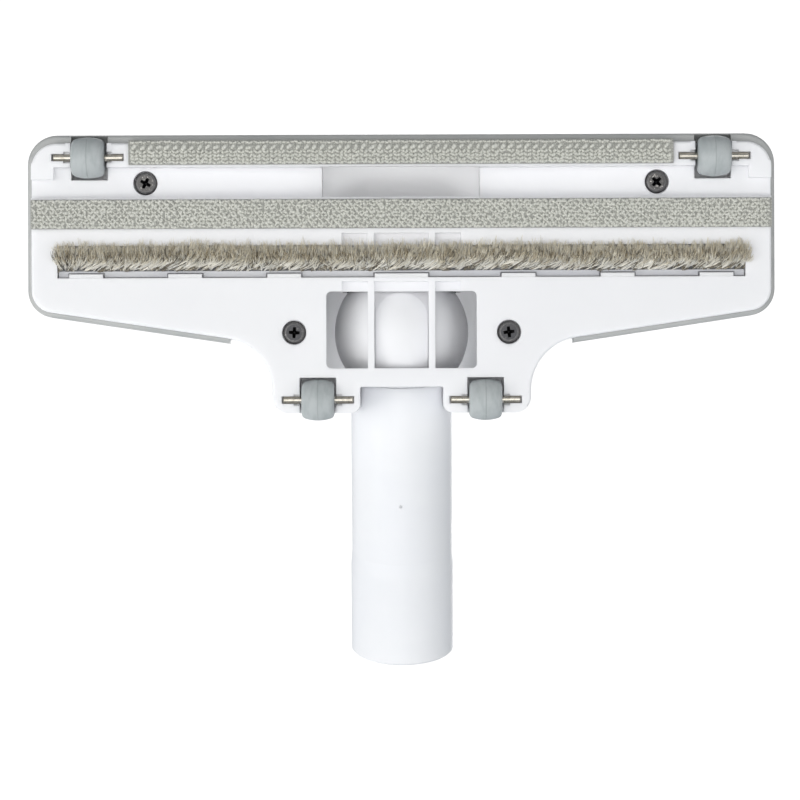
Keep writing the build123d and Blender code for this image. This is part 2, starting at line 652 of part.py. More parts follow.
def keel():
    """Land under the ball, round at its front end, which keeps the ball square between the ribs."""
    width = 2 * (RIB_BAY - KEEL_SIDE_GAP)
    plan = Pos(0, (BALL_R - KEEL_FRONT) / 2) * SlotOverall(BALL_R + KEEL_FRONT, width, rotation=90)
    land = slab(plan, -BALL_D, 0) & Sphere(BALL_R + KEEL_PROUD)
    return Rot(-NECK_REST, 0, 0) * land


def swivel_ball():
    """Hollow ball, cut flat for the tube, with an inlet that stays inside the duct's port."""
    ball = Sphere(BALL_R) + keel()
    ball -= block((-FAR, FAR), (COLLAR_REACH, FAR), (-FAR, FAR))
    inner_end = COLLAR_REACH - COLLAR_DEPTH
    sleeve = Pos(0, inner_end + FAR / 2, 0) * Rot(90, 0, 0) * Cylinder(TUBE_R, FAR)
    ball -= Sphere(BALL_R - BALL_WALL) - sleeve
    ball -= Pos(0, FAR / 2, 0) * Rot(90, 0, 0) * Cylinder(SPIGOT_R + SPIGOT_CLEARANCE, FAR)
    aim = NECK_REST + NECK_LIFT / 2
    inlet = Rot(-aim, 0, 0) * (Plane.XZ * SlotOverall(INLET_WIDTH, INLET_HEIGHT))
    ball -= extrude(inlet, BALL_D, dir=(0, -cos(radians(aim)), sin(radians(aim))))
    return in_ball(ball)


def ball_seal():
    """Lip ring behind the port, hollowed to the ball."""
    inner = PORT_D / 2
    outer = inner + SEAL_WIDTH
    ring = rod_y((PORT_Y, PORT_Y + SEAL_WIDTH), outer) - rod_y((PORT_Y, PORT_Y + SEAL_WIDTH), inner)
    return ring - ball_room(BALL_CLEARANCE)


def ring_groove():
    """Start and end of the retaining ring's groove, along the neck from the ball's centre."""
    end = COLLAR_REACH - COLLAR_DEPTH - SEAM_GAP
    return end - RING_THICK, end


def neck_tube():
    """Turned tube: grooved spigot, shoulder, plain tube and wider socket for the pipe."""
    groove_start, groove_end = ring_groove()
    shoulder = COLLAR_REACH + COLLAR_GAP
    bore = TUBE_R - TUBE_WALL
    spigot_bore = SPIGOT_R - SPIGOT_WALL
    socket_bore = SOCKET_BORE / 2
    socket_floor = NECK_LENGTH - SOCKET_DEPTH
    taper_start = socket_floor - SOCKET_TAPER
    tube = turned(
        [
            (spigot_bore, groove_start - RING_END),
            (SPIGOT_R, groove_start - RING_END),
            (SPIGOT_R, groove_start),
            (SPIGOT_R - RING_SEAT, groove_start),
            (SPIGOT_R - RING_SEAT, groove_end),
            (SPIGOT_R, groove_end),
            (SPIGOT_R, shoulder),
            (TUBE_R, shoulder),
            (TUBE_R, taper_start),
            (SOCKET_R, socket_floor),
            (SOCKET_R, NECK_LENGTH - SOCKET_EDGE),
            (SOCKET_R - SOCKET_EDGE, NECK_LENGTH),
            (socket_bore, NECK_LENGTH),
            (socket_bore, socket_floor),
            (bore, socket_floor),
            (bore, shoulder + TUBE_WALL),
            (spigot_bore, shoulder),
        ]
    )
    return in_ball(tube)


def neck_retaining_ring():
    """Split ring in the spigot's groove, against the inner end of the collar."""
    start, end = ring_groove()
    inner = SPIGOT_R - RING_SEAT
    outer = inner + RING_WIDTH
    section = make_face(Polyline((inner, start), (outer, start), (outer, end), (inner, end), close=True))
    ring = revolve(section, Axis.Y, 360 - RING_SPLIT)
    return in_ball(ring)


def roller(place):
    """Barrel roller with rounded edges and a bore for its axle."""
    x, y = place
    half = ROLLER_WIDTH / 2
    edge = ROLLER_EDGE_D / 2
    barrel = ThreePointArc((-half, edge), (0, ROLLER_R), (half, edge))
    bore = AXLE_R + ROLLER_BORE_GAP
    ends = Polyline((half, edge), (half, bore), (-half, bore), (-half, edge))
    section = make_face(barrel + ends)
    rims = section.vertices().filter_by(lambda corner: corner.Y > bore + ROLLER_EDGE_R)
    body = revolve(fillet(rims, ROLLER_EDGE_R), Axis.X)
    return Pos(x, y, ROLLER_R) * body


def axle(place):
    """Steel pin across the roller's pocket."""
    x, y = place
    pin = Rot(0, 90, 0) * Cylinder(AXLE_R, AXLE_LENGTH)
    pin = chamfer(pin.edges().filter_by(GeomType.CIRCLE), AXLE_CHAMFER)
    return Pos(x, y, ROLLER_R) * pin


def cover_screws():
    """Pan-head screws with a cross recess, one solid each."""
    radius = SCREW_HEAD_D / 2
    head = Pos(0, 0, -SCREW_HEAD_HEIGHT / 2) * Cylinder(radius, SCREW_HEAD_HEIGHT)
    head = fillet(head.edges().group_by(Axis.Z)[0], SCREW_HEAD_HEIGHT / 2)
    arm = block(
        (-SCREW_CROSS_LENGTH / 2, SCREW_CROSS_LENGTH / 2),
        (-SCREW_CROSS_WIDTH / 2, SCREW_CROSS_WIDTH / 2),
        (-SCREW_HEAD_HEIGHT, SCREW_CROSS_DEPTH - SCREW_HEAD_HEIGHT),
    )
    head -= arm + Rot(0, 0, 90) * arm
    screw = head + Pos(0, 0, SCREW_LENGTH / 2) * Cylinder(SCREW_SHANK_D / 2, SCREW_LENGTH)
    return Compound([Pos(*place) * screw.solid() for place in screw_places()])


def build():
    """Every sub-part by its node name."""
    parts = {
        "bottom_plate": bottom_plate(),
        "top_cover": top_cover(),
        "bumper": bumper(),
        "front_lint_strip": front_lint_strip(),
        "rear_lint_strip": rear_lint_strip(),
        "brush_carrier": brush_carrier(),
        "brush_bristles": bristle_sheet(),
        "swivel_ball": swivel_ball(),
        "ball_seal": ball_seal(),
        "neck_tube": neck_tube(),
        "neck_retaining_ring": neck_retaining_ring(),
        "cover_screws": cover_screws(),
    }
    for name, place in roller_places().items():
        parts["roller_" + name] = roller(place)
        parts["axle_" + name] = axle(place)
    return parts


os.makedirs("parts", exist_ok=True)
for name, part in build().items():
    export_step(Pos(0, BALL_Y, 0) * part, f"parts/{name}.step")
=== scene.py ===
import json
import logging
import math
import random
from dataclasses import dataclass, replace
from enum import Enum, IntEnum
from typing import Any, Union

import bmesh
import bpy
from mathutils import Matrix, Vector


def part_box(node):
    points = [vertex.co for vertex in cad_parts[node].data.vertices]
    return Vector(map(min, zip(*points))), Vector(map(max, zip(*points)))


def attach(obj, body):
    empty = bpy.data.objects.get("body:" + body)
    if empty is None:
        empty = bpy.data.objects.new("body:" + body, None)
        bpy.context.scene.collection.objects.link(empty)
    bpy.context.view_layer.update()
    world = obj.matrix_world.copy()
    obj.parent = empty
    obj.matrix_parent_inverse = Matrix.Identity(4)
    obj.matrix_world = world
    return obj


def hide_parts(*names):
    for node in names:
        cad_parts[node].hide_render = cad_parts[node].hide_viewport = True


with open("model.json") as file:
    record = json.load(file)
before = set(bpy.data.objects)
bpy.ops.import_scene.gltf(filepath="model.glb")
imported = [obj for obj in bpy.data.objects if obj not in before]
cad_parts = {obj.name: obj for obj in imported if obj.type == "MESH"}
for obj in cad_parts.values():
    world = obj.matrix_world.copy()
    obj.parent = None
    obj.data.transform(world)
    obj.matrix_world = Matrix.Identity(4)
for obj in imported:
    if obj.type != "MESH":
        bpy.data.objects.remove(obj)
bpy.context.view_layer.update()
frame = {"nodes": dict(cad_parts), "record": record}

MM = 0.001
WELD = 0.001  # millimetres between corners that are merged
PICTURE = 800  # pixels
LOG = logging.getLogger("floor_head")

Colour = tuple[float, float, float]
Operand = Union["Wire", float]


def srgb(red: int, green: int, blue: int) -> Colour:
    """Turns a screen colour into a linear one.

    Args:
        red: Red, from 0 to 255.
        green: Green, from 0 to 255.
        blue: Blue, from 0 to 255.

    Returns:
        The linear colour.
    """
    channels = [value / 255 for value in (red, green, blue)]
    return tuple(c / 12.92 if c <= 0.04045 else ((c + 0.055) / 1.055) ** 2.4 for c in channels)


class Wire:
    """Output of a node that takes part in Python expressions."""

    def __init__(self, graph: "Graph", socket: bpy.types.NodeSocket) -> None:
        """Keeps the socket and the graph that it belongs to."""
        self.graph = graph
        self.socket = socket

    def _math(self, operation: str, first: Operand, second: Operand) -> "Wire":
        """Adds one Math node."""
        return self.graph.node("ShaderNodeMath", {"operation": operation}, {0: first, 1: second})

    def __add__(self, other: Operand) -> "Wire":
        """This value plus another."""
        return self._math("ADD", self, other)

    def __radd__(self, other: Operand) -> "Wire":
        """Another value plus this one."""
        return self._math("ADD", other, self)

    def __sub__(self, other: Operand) -> "Wire":
        """This value minus another."""
        return self._math("SUBTRACT", self, other)

    def __rsub__(self, other: Operand) -> "Wire":
        """Another value minus this one."""
        return self._math("SUBTRACT", other, self)

    def __mul__(self, other: Operand) -> "Wire":
        """This value times another."""
        return self._math("MULTIPLY", self, other)

    def __rmul__(self, other: Operand) -> "Wire":
        """Another value times this one."""
        return self._math("MULTIPLY", other, self)

    def __abs__(self) -> "Wire":
        """Size of this value without its sign."""
        return self._math("ABSOLUTE", self, 0.0)

    def sine(self) -> "Wire":
        """Sine of this value."""
        return self._math("SINE", self, 0.0)

    def band(self, low: float, high: float) -> "Wire":
        """Smooth step of this value between two limits.

        Args:
            low: Value that gives 0.
            high: Value that gives 1.

        Returns:
            The step, from 0 to 1.
        """
        settings = {"interpolation_type": "SMOOTHSTEP"}
        return self.graph.node("ShaderNodeMapRange", settings, {0: self, 1: low, 2: high, 3: 0.0, 4: 1.0})


class Graph:
    """Node tree of a material or a world, with its shader ready to be fed."""

    def __init__(self, owner: Union[bpy.types.Material, bpy.types.World], shader: str) -> None:
        """Keeps the owner of the tree and finds its shader.

        Args:
            owner: Material or world.
            shader: Name of its shader node.
        """
        owner.use_nodes = True
        self.owner = owner
        self.tree = owner.node_tree
        self.shader = self.tree.nodes[shader]

    @classmethod
    def paint(cls, name: str) -> "Graph":
        """Starts a new material."""
        return cls(bpy.data.materials.new(name), "Principled BSDF")

    def feed(self, socket: bpy.types.NodeSocket, value: Any) -> None:
        """Links a wire to a socket, or sets the socket's own value.

        Args:
            socket: Input of a node.
            value: Wire, number, colour or vector.
        """
        if isinstance(value, Wire):
            self.tree.links.new(value.socket, socket)
        elif socket.type == "RGBA":
            socket.default_value = (*value[:3], 1.0)
        else:
            socket.default_value = value

    def node(self, kind: str, settings: dict[str, Any], sockets: dict[Any, Any], output: Any = 0) -> Wire:
        """Adds a node.

        Args:
            kind: Blender's name for the node's type.
            settings: Properties that are set first; "stops" are a ramp's places and colours.
            sockets: Values or wires for the node's inputs, by name or number.
            output: Name or number of the output that is wanted.

        Returns:
            The wire from that output.
        """
        made = self.tree.nodes.new(kind)
        for key, value in settings.items():
            if key == "stops":
                ramp = made.color_ramp.elements
                while len(ramp) < len(value):
                    ramp.new(0.5)
                for stop, (place, colour) in zip(ramp, value):
                    stop.position = place
                    stop.color = (*colour, 1.0)
            else:
                setattr(made, key, value)
        for key, value in sockets.items():
            self.feed(made.inputs[key], value)
        return Wire(self, made.outputs[output])

    def place(self) -> Wire:
        """Point on the surface, in the part's own frame."""
        return self.node("ShaderNodeTexCoord", {}, {}, "Object")

    def strand(self, name: str) -> Wire:
        """Place on a strand: X from its root to its tip, Y round it, both from 0 to 1."""
        uv = self.node("ShaderNodeTexCoord", {}, {}, "UV")
        return self.node("ShaderNodeSeparateXYZ", {}, {0: uv}, name)

    def axis(self, name: str) -> Wire:
        """One coordinate of the point on the surface, in metres."""
        return self.node("ShaderNodeSeparateXYZ", {}, {0: self.place()}, name)

    def noise(self, scale: float, detail: float = 2.0, stretch: Colour = (1.0, 1.0, 1.0)) -> Wire:
        """Soft noise over the surface.

        Args:
            scale: Waves to the metre.
            detail: Octaves.
            stretch: Factors on the three axes, small along a grain.

        Returns:
            The noise, about 0.5.
        """
        point = self.node("ShaderNodeMapping", {}, {"Vector": self.place(), "Scale": stretch})
        sockets = {"Vector": point, "Scale": scale, "Detail": detail, "Roughness": 0.55}
        return self.node("ShaderNodeTexNoise", {}, sockets)

    def blend(self, share: Operand, first: Any, second: Any) -> Wire:
        """Colour between two colours."""
        return self.node("ShaderNodeMix", {"data_type": "RGBA"}, {0: share, 6: first, 7: second}, 2)

    def bump(self, height: Wire, depth: float, strength: float = 1.0, normal: Any = None) -> Wire:
        """Surface direction that follows a relief.

        Args:
            height: The relief, from 0 to 1.
            depth: Its depth in metres.
            strength: Share of it that is used.
            normal: Direction to start from, where another relief made one.

        Returns:
            The new direction.
        """
        sockets = {"Strength": strength, "Distance": depth, "Height": height}
        if normal is not None:
            sockets["Normal"] = normal
        return self.node("ShaderNodeBump", {}, sockets)

    def soft_edges(self, radius: float) -> Wire:
        """Surface direction with the edges eased by a small radius."""
        return self.node("ShaderNodeBevel", {"samples": 4}, {"Radius": radius})

    def close(self, sockets: dict[str, Any]) -> Any:
        """Feeds the shader.

        Args:
            sockets: Values or wires for the shader's inputs, by name.

        Returns:
            The material or world.
        """
        for key, value in sockets.items():
            self.feed(self.shader.inputs[key], value)
        return self.owner


@dataclass(frozen=True)
class MouldedPlastic:
    """Satin injection-moulded plastic with a fine spark-eroded grain."""

    name: str
    colour: Colour
    tint: Colour
    roughness: float = 0.38
    grain: float = 0.000012  # depth of the grain, in metres
    edge: float = 0.00015  # radius that eases the edges, in metres
    clear: float = 0.6  # share of the light that goes in and spreads
    spread: float = 0.003  # how far it spreads, in metres
    evenness: Colour = (1.0, 1.0, 1.0)  # spread of red, green and blue
    gloss: float = 0.35

    def material(self) -> bpy.types.Material:
        """Makes the material.

        Returns:
            The material.
        """
        graph = Graph.paint(self.name)
        cloud = graph.noise(26.0, 3.0)
        flow = graph.noise(60.0, 2.0, (0.25, 1.0, 1.0))
        colour = graph.blend((cloud * 0.6 + flow * 0.4).band(0.35, 0.68), self.colour, self.tint)
        fine = graph.noise(5200.0, 2.0)
        rough = self.roughness + (flow - 0.5) * 0.12 + (fine - 0.5) * 0.10
        normal = graph.bump(fine, self.grain, 0.6, graph.soft_edges(self.edge))
        sockets = {"Base Color": colour, "Roughness": rough, "Normal": normal, "IOR": 1.48}
        sockets |= {"Specular IOR Level": self.gloss, "Subsurface Weight": self.clear}
        sockets |= {"Subsurface Radius": self.evenness, "Subsurface Scale": self.spread}
        return graph.close(sockets)


@dataclass(frozen=True)
class SoftBand:
    """Matt soft plastic of the bumper and the seal."""

    name: str
    colour: Colour
    rub: Colour
    roughness: float

    def material(self) -> bpy.types.Material:
        """Makes the material.

        Returns:
            The material.
        """
        graph = Graph.paint(self.name)
        rubbed = graph.noise(140.0, 4.0, (0.3, 1.0, 1.0)).band(0.46, 0.72)
        colour = graph.blend(rubbed, self.colour, self.rub)
        pores = graph.noise(3600.0, 3.0)
        rough = self.roughness - rubbed * 0.10 + (pores - 0.5) * 0.15
        normal = graph.bump(pores, 0.00006, 0.7, graph.soft_edges(0.0003))
        return graph.close({"Base Color": colour, "Roughness": rough, "Normal": normal, "IOR": 1.5})


@dataclass(frozen=True)
class Tread:
    """Satin grey plastic of one roller, with the mould's parting line round its middle."""

    name: str
    middle: float  # place of the line along X, in metres
    colour: Colour = srgb(186, 191, 191)
    scuff: Colour = srgb(174, 180, 180)
    seam: Colour = srgb(96, 102, 104)
    roughness: float = 0.55
    gloss: float = 0.25

    def material(self) -> bpy.types.Material:
        """Makes the material.

        Returns:
            The material.
        """
        graph = Graph.paint(self.name)
        away = abs(graph.axis("X") - self.middle)
        line = 1.0 - away.band(0.00006, 0.00022)
        cloud = graph.noise(420.0, 4.0, (1.0, 0.4, 0.4)).band(0.38, 0.70)
        colour = graph.blend(line * 0.22, graph.blend(cloud, self.colour, self.scuff), self.seam)
        fine = graph.noise(4200.0, 3.0)
        rough = self.roughness + (cloud - 0.5) * 0.14 + (fine - 0.5) * 0.12
        normal = graph.bump(line, 0.00008, 0.9, graph.bump(fine, 0.00003, 0.6))
        sockets = {"Base Color": colour, "Roughness": rough, "Normal": normal}
        return graph.close(sockets | {"IOR": 1.5, "Specular IOR Level": self.gloss})


@dataclass(frozen=True)
class DrawnSteel:
    """Bright steel wire with fine draw lines along X."""

    name: str
    colour: Colour
    shade: Colour
    roughness: float

    def material(self) -> bpy.types.Material:
        """Makes the material.

        Returns:
            The material.
        """
        graph = Graph.paint(self.name)
        lines = graph.noise(9000.0, 2.0, (0.02, 1.0, 1.0))
        film = graph.noise(700.0, 3.0).band(0.40, 0.72)
        colour = graph.blend(film, self.colour, self.shade)
        rough = self.roughness + (lines - 0.5) * 0.16 + film * 0.06
        normal = graph.bump(lines, 0.00001, 0.5)
        return graph.close({"Base Color": colour, "Metallic": 1.0, "Roughness": rough, "Normal": normal})


@dataclass(frozen=True)
class PlatedSteel:
    """Dark plated steel of the screws, lighter in random rubbed patches. Its copies also paint light:
    glints on the front crowns, shade in the recesses and a highlight on the rims.
    """

    name: str
    colour: Colour
    worn_and_glint: Colour
    roughness: float

    def material(self) -> bpy.types.Material:
        """Makes the material.

        Returns:
            The material.
        """
        graph = Graph.paint(self.name)
        # lighter patches: wear, and in the front crowns' copy also painted glints
        wear_and_glints = graph.noise(1500.0, 4.0).band(0.55, 0.75)
        colour = graph.blend(wear_and_glints, self.colour, self.worn_and_glint)
        grit = graph.noise(5200.0, 2.0)
        rough = self.roughness + (grit - 0.5) * 0.20 - wear_and_glints * 0.06
        normal = graph.bump(grit, 0.00002, 0.6)
        return graph.close({"Base Color": colour, "Metallic": 0.85, "Roughness": rough, "Normal": normal})


@dataclass(frozen=True)
class Yarn:
    """Twisted synthetic yarn of the lint strips, with painted shade along the grooves of its twist."""

    name: str
    colour: Colour
    hollow_shade: Colour
    twists: float

    def material(self) -> bpy.types.Material:
        """Makes the material.

        Returns:
            The material.
        """
        graph = Graph.paint(self.name)
        turns = graph.strand("X") * self.twists + graph.strand("Y")
        ply = (turns * (2 * math.pi)).sine() * 0.5 + 0.5
        cloud = graph.noise(900.0, 3.0)
        # darker along the grooves of the twist: painted shade, mixed with random tone
        colour = graph.blend((ply * 0.35 + cloud * 0.65).band(0.25, 0.70), self.hollow_shade, self.colour)
        normal = graph.bump(ply, 0.00008, 0.8)
        sockets = {"Base Color": colour, "Roughness": 0.62 + (cloud - 0.5) * 0.2, "Normal": normal}
        return graph.close(sockets | {"Sheen Weight": 0.25, "Sheen Roughness": 0.4})


@dataclass(frozen=True)
class TapeCloth:
    """Woven ground of the lint strips, under their stitches, with painted shade in the hollows of its
    weave.
    """

    name: str
    colour: Colour
    hollow_shade: Colour
    pitch: float

    def material(self) -> bpy.types.Material:
        """Makes the material.

        Returns:
            The material.
        """
        graph = Graph.paint(self.name)
        turn = 2 * math.pi / self.pitch
        warp = (graph.axis("X") * turn).sine() * 0.5 + 0.5
        weft = (graph.axis("Y") * turn).sine() * 0.5 + 0.5
        fibre = graph.noise(2600.0, 4.0)
        lay = warp * weft * 0.6 + fibre * 0.4
        # darker in the hollows of the weave: painted shade, mixed with random fibre tone
        colour = graph.blend(lay.band(0.1, 0.7), self.hollow_shade, self.colour)
        normal = graph.bump(lay, 0.0003, 0.8)
        rough = 0.78 + (fibre - 0.5) * 0.2
        return graph.close({"Base Color": colour, "Roughness": rough, "Normal": normal})


@dataclass(frozen=True)
class Hair:
    """Natural hair, pale at the root and brown towards the tip, with painted shade at the very root."""

    name: str
    root: Colour
    middle: Colour
    tip: Colour
    painted_root_shade: float = 0.35  # brightness of the painted shade at the very root, among its neighbours
    stops: tuple[float, ...] = (0.0, 0.14, 0.56, 0.76, 1.0)  # places of the colours, from root to tip

    def material(self) -> bpy.types.Material:
        """Makes the material.

        Returns:
            The material.
        """
        graph = Graph.paint(self.name)
        streak = graph.noise(1300.0, 3.0)
        place = graph.strand("X") + (streak - 0.5) * 0.3
        # painted shade: the very root is darkened as if shaded by the hairs round it
        painted_root_shade = tuple(self.painted_root_shade * value for value in self.root)
        stops = list(zip(self.stops, (painted_root_shade, self.root, self.root, self.middle, self.tip)))
        colour = graph.node("ShaderNodeValToRGB", {"stops": stops}, {0: place})
        rough = 0.46 + (streak - 0.5) * 0.2
        normal = graph.bump(graph.noise(6000.0, 2.0), 0.00002, 0.5)
        sockets = {"Base Color": colour, "Roughness": rough, "Normal": normal}
        return graph.close(sockets | {"Sheen Weight": 0.35})


@dataclass(frozen=True)
class PaleFloor:
    """Pale studio floor, clear from below so that the sole can be looked at."""

    name: str
    colour: Colour
    glow: float = 0.14  # light of its own, so that it stays pale far away

    def material(self) -> bpy.types.Material:
        """Makes the material.

        Returns:
            The material.
        """
        graph = Graph.paint(self.name)
        cloud = graph.noise(6.0, 3.0)
        glow = {"Emission Color": (1.0, 1.0, 1.0), "Emission Strength": self.glow}
        graph.close({"Base Color": self.colour, "Roughness": 0.55 + (cloud - 0.5) * 0.1} | glow)
        back = graph.node("ShaderNodeNewGeometry", {}, {}, "Backfacing")
        clear = graph.node("ShaderNodeBsdfTransparent", {}, {})
        solid = Wire(graph, graph.shader.outputs[0])
        mixed = graph.node("ShaderNodeMixShader", {}, {0: back, 1: solid, 2: clear})
        graph.feed(graph.tree.nodes["Material Output"].inputs["Surface"], mixed)
        return graph.owner


WHITE = MouldedPlastic("white_moulding", srgb(252, 252, 254), srgb(249, 249, 252))
SHELL = replace(WHITE, name="shell_moulding", edge=0.0003, clear=0.9, spread=0.006)
# the same white plastic made darker to offset how brightly the neck is lit: painted shade
SHADED_TUBE = MouldedPlastic("tube_moulding_shaded", srgb(246, 247, 250), srgb(243, 244, 248))
CARRIER = MouldedPlastic(
    "carrier_moulding",
    srgb(210, 211, 214),
    srgb(202, 203, 208),
    roughness=0.50,
    grain=0.00003,
    edge=0.0002,
    clear=0.0,
    spread=0.001,
)
RING = MouldedPlastic(
    "ring_moulding",
    srgb(214, 214, 218),
    srgb(204, 204, 210),
    roughness=0.45,
    grain=0.00002,
    edge=0.0002,
    clear=0.3,
)
BAND = SoftBand("bumper_band", srgb(184, 185, 183), srgb(172, 174, 173), 0.45)
SEAL = SoftBand("ball_seal", srgb(62, 62, 64), srgb(74, 74, 76), 0.58)
STEEL = DrawnSteel("axle_wire", srgb(206, 201, 190), srgb(184, 178, 165), 0.16)
# front crowns: wear with bright patches that stand for glints, a painted highlight
RUBBED_PAINTED_GLINTS = PlatedSteel("screw_plating_rubbed_painted_glints", srgb(86, 85, 84), srgb(214, 210, 204), 0.28)
PLATED = PlatedSteel("screw_plating", srgb(74, 74, 76), srgb(112, 110, 108), 0.34)
# near-black plating inside the cross: painted shade in the recess
RECESS_PAINTED_SHADE = PlatedSteel("screw_recess_painted_shade", srgb(26, 26, 27), srgb(46, 45, 44), 0.50)
# lighter, rougher plating on the rounded edge, side and shank: painted highlight where the rim catches
# light
RIM_PAINTED_HIGHLIGHT = PlatedSteel("screw_rim_painted_highlight", srgb(112, 111, 111), srgb(160, 158, 155), 0.52)
YARN = Yarn("strip_yarn", srgb(217, 217, 208), srgb(193, 193, 185), 3.0)
GROUND = TapeCloth("strip_ground", srgb(184, 184, 177), srgb(156, 156, 150), 0.0009)
FLOOR = PaleFloor("studio_floor", srgb(218, 219, 222))


class Coat(Enum):
    """Shades of hair that are mixed in the brush."""

    CREAM = Hair("hair_cream", srgb(243, 239, 227), srgb(234, 227, 207), srgb(224, 214, 188))
    TAN = Hair("hair_tan", srgb(230, 224, 209), srgb(206, 194, 166), srgb(196, 183, 152))
    BROWN = Hair("hair_brown", srgb(200, 192, 173), srgb(162, 146, 112), srgb(148, 131, 96))
    GREY = Hair("hair_grey", srgb(230, 228, 220), srgb(210, 206, 192), srgb(214, 209, 196))
    # dark hair, partly hair colour and partly painted shade: in the under layer it darkens the gaps between
    # the locks
    DARK = Hair("hair_dark", srgb(122, 114, 97), srgb(100, 89, 67), srgb(92, 81, 60))


def strands_to_mesh(name: str, curve: bpy.types.Curve) -> bpy.types.Object:
    """Turns a curve of many strands into one mesh object.

    Args:
        name: Name of the new object.
        curve: Strands with their thickness and materials.

    Returns:
        The mesh object, linked to the scene.
    """
    holder = bpy.data.objects.new(name + "_line", curve)
    bpy.context.scene.collection.objects.link(holder)
    state = bpy.context.evaluated_depsgraph_get()
    mesh = bpy.data.meshes.new_from_object(holder.evaluated_get(state), depsgraph=state)
    bpy.data.objects.remove(holder)
    bpy.data.curves.remove(curve)
    mesh.name = name
    piece = bpy.data.objects.new(name, mesh)
    bpy.context.scene.collection.objects.link(piece)
    return piece


def strand_curve(name: str, thickness: float, sides: int, finishes: list[Any]) -> bpy.types.Curve:
    """Makes an empty curve for strands.

    Args:
        name: Name of the curve.
        thickness: Radius of a full strand, in metres.
        sides: Extra steps round a strand, on top of four sides.
        finishes: Finishes that the strands choose from.

    Returns:
        The curve.
    """
    curve = bpy.data.curves.new(name, "CURVE")
    curve.dimensions = "3D"
    curve.bevel_depth = thickness
    curve.bevel_resolution = sides
    curve.use_fill_caps = True
    for finish in finishes:
        curve.materials.append(finish.material())
    return curve


def add_strand(curve: bpy.types.Curve, points: list[Vector], radii: list[float], shade: int) -> None:
    """Adds one strand to a curve.

    Args:
        curve: Curve that takes the strand.
        points: Points from root to tip, in metres.
        radii: Share of the full thickness at each point.
        shade: Number of the strand's finish.
    """
    line = curve.splines.new("POLY")
    line.points.add(len(points) - 1)
    line.points.foreach_set("co", [value for point in points for value in (*point, 1.0)])
    line.points.foreach_set("radius", radii)
    line.material_index = shade
    line.use_smooth = True


def mesh_object(name: str, shape: bmesh.types.BMesh, finishes: list[Any]) -> bpy.types.Object:
    """Makes an object from a finished bmesh.

    Args:
        name: Name of the object and its mesh.
        shape: Shape, which is freed.
        finishes: Finishes for its material slots.

    Returns:
        The object, linked to the scene.
    """
    mesh = bpy.data.meshes.new(name)
    shape.to_mesh(mesh)
    shape.free()
    for finish in finishes:
        mesh.materials.append(finish.material())
    piece = bpy.data.objects.new(name, mesh)
    bpy.context.scene.collection.objects.link(piece)
    return piece


def turned(profile: list[tuple[float, float]], steps: int) -> bmesh.types.BMesh:
    """Spins a profile about Z.

    Args:
        profile: Radius and height of each corner, in millimetres.
        steps: Steps round the axis.

    Returns:
        The shape, in millimetres.
    """
    shape = bmesh.new()
    corners = [shape.verts.new((r, 0, z)) for r, z in profile]
    line = [shape.edges.new(pair) for pair in zip(corners, corners[1:])]
    bmesh.ops.spin(
        shape,
        geom=corners + line,
        axis=(0, 0, 1),
        cent=(0, 0, 0),
        angle=2 * math.pi,
        steps=steps,
        use_merge=True,
    )
    bmesh.ops.remove_doubles(shape, verts=shape.verts, dist=WELD)
    return shape


@dataclass
class Mouldings:
    """CAD pieces that keep their shape and get a finish."""

    finishes: tuple[tuple[str, Any], ...] = (
        ("bottom_plate", WHITE),
        ("swivel_ball", WHITE),
        ("top_cover", SHELL),
        ("neck_tube", SHADED_TUBE),
        ("bumper", BAND),
        ("ball_seal", SEAL),
        ("brush_carrier", CARRIER),
        ("neck_retaining_ring", RING),
    )

    def dress(self) -> None:
        """Gives each moulding, axle and roller its finish."""
        for node, finish in self.finishes:
            self.coat(node, finish)
        for node in frame["nodes"]:
            if node.startswith("axle_"):
                self.coat(node, STEEL)
            elif node.startswith("roller_"):
                low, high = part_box(node)
                self.coat(node, Tread("tread_" + node, (low.x + high.x) / 2))

    def coat(self, node: str, finish: Any) -> None:
        """Puts a finish on a CAD piece.

        Args:
            node: Name of the piece.
            finish: Finish, which is made once for all its pieces.
        """
        mesh = frame["nodes"][node].data
        mesh.materials.clear()
        mesh.materials.append(bpy.data.materials.get(finish.name) or finish.material())
        LOG.info("dressed %s with %s", node, finish.name)


class ScrewFace(IntEnum):
    """Material slots of the screws."""

    RUBBED_PAINTED_GLINTS = 0
    PLATED = 1
    RECESS_PAINTED_SHADE = 2
    RIM_PAINTED_HIGHLIGHT = 3


